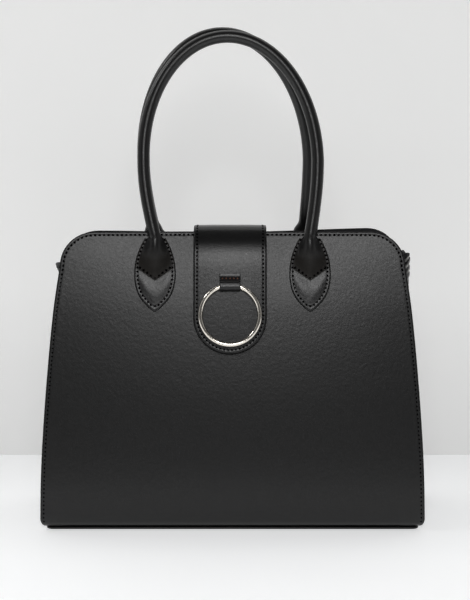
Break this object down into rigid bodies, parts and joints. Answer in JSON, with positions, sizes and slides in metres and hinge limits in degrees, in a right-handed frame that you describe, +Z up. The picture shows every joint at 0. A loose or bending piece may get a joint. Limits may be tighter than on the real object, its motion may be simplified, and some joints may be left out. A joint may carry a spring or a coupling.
{
  "type": "tote bag",
  "caption": "Structured black leather tote bag with leaning panels, folding side gussets, rolled top handles on leaf tabs and a strap flap that carries a swinging metal ring.",
  "frame": {"origin": "under the middle of the base, on the surface that the bag stands on", "axes": "+Z up, +X to the bag's right as seen from the front, front towards -Y"},
  "size_m": [0.3728, 0.13, 0.4843],
  "materials": {
    "panel_leather": "smooth, satin",
    "trim_leather": "smooth, satin",
    "handle_leather": "smooth, rolled",
    "base_leather": "matt",
    "ring_metal": "polished",
    "snap_metal": "dull"
  },
  "bodies": {
    "bag": {"front_panel": "panel_leather", "back_panel": "panel_leather", "gusset_left": "panel_leather", "gusset_right": "panel_leather", "base_panel": "base_leather", "flap": "trim_leather", "flap_snap": "snap_metal", "ring_keeper": "trim_leather", "handle_tab_front_left": "trim_leather", "handle_tab_front_right": "trim_leather", "handle_tab_back_left": "trim_leather", "handle_tab_back_right": "trim_leather", "handle_front": "handle_leather", "handle_back": "handle_leather"},
    "ring": {"ring": "ring_metal"}
  },
  "joints": [
    {"name": "ring_swing", "type": "hinge", "parent": "bag", "child": "ring", "pos_m": [-0.0024, -0.04555, 0.23621], "axis": [-1, 0, 0], "range_deg": [0, 160]}
  ]
}
